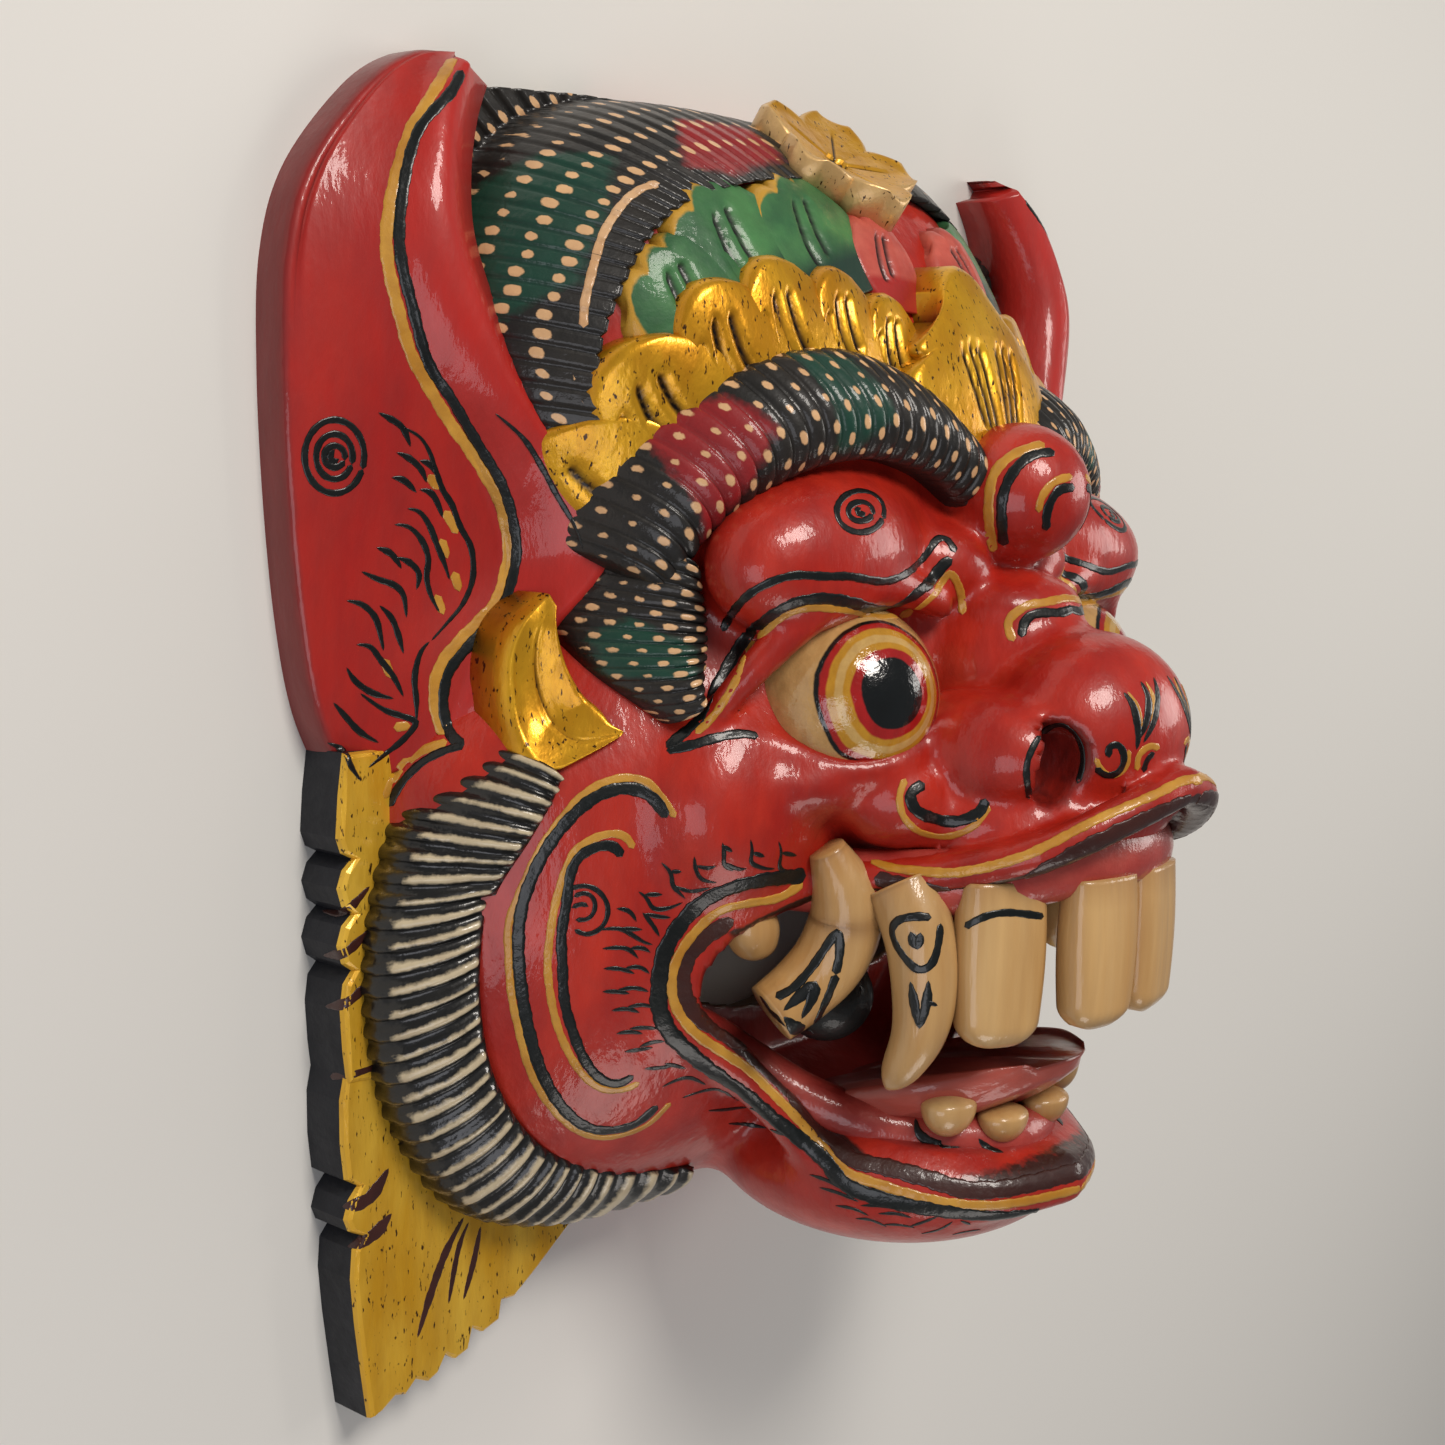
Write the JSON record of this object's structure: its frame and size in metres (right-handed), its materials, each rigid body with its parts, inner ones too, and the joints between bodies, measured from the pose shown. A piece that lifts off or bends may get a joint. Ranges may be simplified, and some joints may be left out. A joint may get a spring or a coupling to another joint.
{
  "type": "kirtimukha mask",
  "caption": "Carved, painted and gilded wooden kirtimukha demon mask with wide ears, bulging eyes, tusks and ridged hair, lying face up on its flat back.",
  "frame": {"origin": "middle of the flat back, at the centre of the mask's outline", "axes": "+Z out of the face, +Y towards the crown, +X towards the right as someone sees the face"},
  "size_m": [0.4043, 0.3994, 0.1866],
  "materials": {
    "painted_wood": "glossy varnish over red, black, green, cream and gold paint"
  },
  "bodies": {
    "root": {"mask": "painted_wood"}
  },
  "joints": []
}
